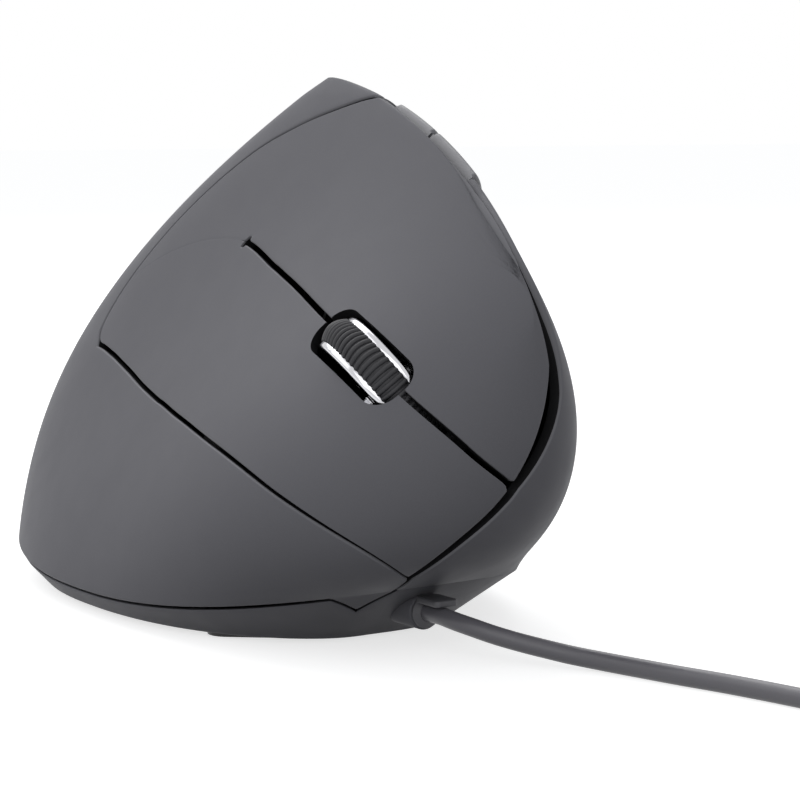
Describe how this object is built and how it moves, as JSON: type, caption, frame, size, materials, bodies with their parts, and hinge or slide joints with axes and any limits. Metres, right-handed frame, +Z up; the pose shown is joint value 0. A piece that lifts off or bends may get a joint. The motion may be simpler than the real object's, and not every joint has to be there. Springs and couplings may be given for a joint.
{
  "type": "vertical ergonomic computer mouse",
  "caption": "Right-handed vertical mouse: domed two-part shell, one-piece finger key panel, ribbed scroll wheel, thumb buttons and a coiled cable with its plug.",
  "frame": {"origin": "on the table under the middle of the body", "axes": "+X to the finger side, +Y to the nose where the cable leaves, +Z up"},
  "size_m": [0.0933, 0.2063, 0.0749],
  "materials": {
    "shell": "satin dark grey",
    "keys": "satin dark grey",
    "thumb_keys": "satin dark grey",
    "rim": "polished",
    "tyre": "ribbed",
    "inner_plastic": "moulded",
    "switch_case": "moulded",
    "pale_plastic": "moulded",
    "board": "solder mask",
    "ribbon": "flat lead",
    "lens": "clear",
    "cable": "satin jacket",
    "relief": "moulded",
    "screw": "plated",
    "shield": "plated",
    "glide": "slick"
  },
  "bodies": {
    "mouse_body": {"base_tray": "shell", "main_shell": "shell", "thumb_shell": "shell", "button_panel": "keys", "inner_frame": "inner_plastic", "left_switch": "switch_case", "right_switch": "switch_case", "wheel_switch": "switch_case", "forward_switch": "switch_case", "back_switch": "switch_case", "controller_chip": "switch_case", "sensor_chip": "switch_case", "cable_socket": "pale_plastic", "key_board": "board", "thumb_board": "board", "main_board": "board", "key_ribbon": "ribbon", "thumb_ribbon": "ribbon", "sensor_lens": "lens", "inner_lead": "cable", "cable_lead": "cable", "cable_coil": "cable", "strain_relief": "relief", "usb_plug": "relief", "cable_tie": "relief", "base_screws": "screw", "board_screws": "screw", "key_board_screws": "screw", "thumb_board_screws": "screw", "usb_shield": "shield", "glide_feet": "glide"},
    "left_key": {"left_button": "keys"},
    "right_key": {"right_button": "keys"},
    "wheel_mount": {"wheel_carriage": "inner_plastic", "scroll_encoder": "pale_plastic"},
    "wheel": {"scroll_wheel": "rim", "wheel_tyre": "tyre"},
    "forward_key": {"forward_button": "thumb_keys"},
    "back_key": {"back_button": "thumb_keys"},
    "left_pin": {"left_plunger": "pale_plastic"},
    "right_pin": {"right_plunger": "pale_plastic"},
    "wheel_pin": {"wheel_plunger": "pale_plastic"},
    "forward_pin": {"forward_plunger": "pale_plastic"},
    "back_pin": {"back_plunger": "pale_plastic"}
  },
  "joints": [
    {"name": "left_press", "type": "hinge", "parent": "mouse_body", "child": "left_key", "pos_m": [-0.00169, 0.0063, 0.06019], "axis": [-0.5214, 0.5603, 0.6435], "range_deg": [0, 0.7], "stiffness_Nm_per_rad": 1.4},
    {"name": "right_press", "type": "hinge", "parent": "mouse_body", "child": "right_key", "pos_m": [0.01214, -0.00458, 0.04097], "axis": [-0.5224, 0.2396, 0.8183], "range_deg": [0, 0.56], "stiffness_Nm_per_rad": 2.2},
    {"name": "wheel_press", "type": "hinge", "parent": "mouse_body", "child": "wheel_mount", "pos_m": [0.00651, 0.02498, 0.03803], "axis": [-0.7204, 0.2765, 0.6361], "range_deg": [0, 1.6], "stiffness_Nm_per_rad": 0.65},
    {"name": "wheel_spin", "type": "hinge", "parent": "wheel_mount", "child": "wheel", "pos_m": [0.00835, 0.03938, 0.03386], "axis": [-0.7204, 0.2765, 0.6361], "continuous": true},
    {"name": "forward_press", "type": "slide", "parent": "mouse_body", "child": "forward_key", "axis": [0.9525, -0.2279, -0.2021], "range_m": [0, 0.0006], "stiffness_N_per_m": 1200},
    {"name": "back_press", "type": "slide", "parent": "mouse_body", "child": "back_key", "axis": [0.9525, -0.2279, -0.2021], "range_m": [0, 0.0006], "stiffness_N_per_m": 1200},
    {"name": "left_pin_slide", "type": "slide", "parent": "mouse_body", "child": "left_pin", "axis": [-0.6935, -0.2774, -0.6649], "range_m": [0, 0.0004]},
    {"name": "right_pin_slide", "type": "slide", "parent": "mouse_body", "child": "right_pin", "axis": [-0.6935, -0.2774, -0.6649], "range_m": [0, 0.0004]},
    {"name": "wheel_pin_slide", "type": "slide", "parent": "mouse_body", "child": "wheel_pin", "axis": [-0.6935, -0.2774, -0.6649], "range_m": [0, 0.00065]},
    {"name": "forward_pin_slide", "type": "slide", "parent": "mouse_body", "child": "forward_pin", "axis": [0.9525, -0.2279, -0.2021], "range_m": [0, 0.0006]},
    {"name": "back_pin_slide", "type": "slide", "parent": "mouse_body", "child": "back_pin", "axis": [0.9525, -0.2279, -0.2021], "range_m": [0, 0.0006]}
  ],
  "couplings": [
    {"joint": "left_pin_slide", "follows": "left_press", "m_per_rad": 0.028705},
    {"joint": "right_pin_slide", "follows": "right_press", "m_per_rad": 0.03529},
    {"joint": "wheel_pin_slide", "follows": "wheel_press", "m_per_rad": 0.0225},
    {"joint": "forward_pin_slide", "follows": "forward_press", "ratio": 1},
    {"joint": "back_pin_slide", "follows": "back_press", "ratio": 1}
  ]
}
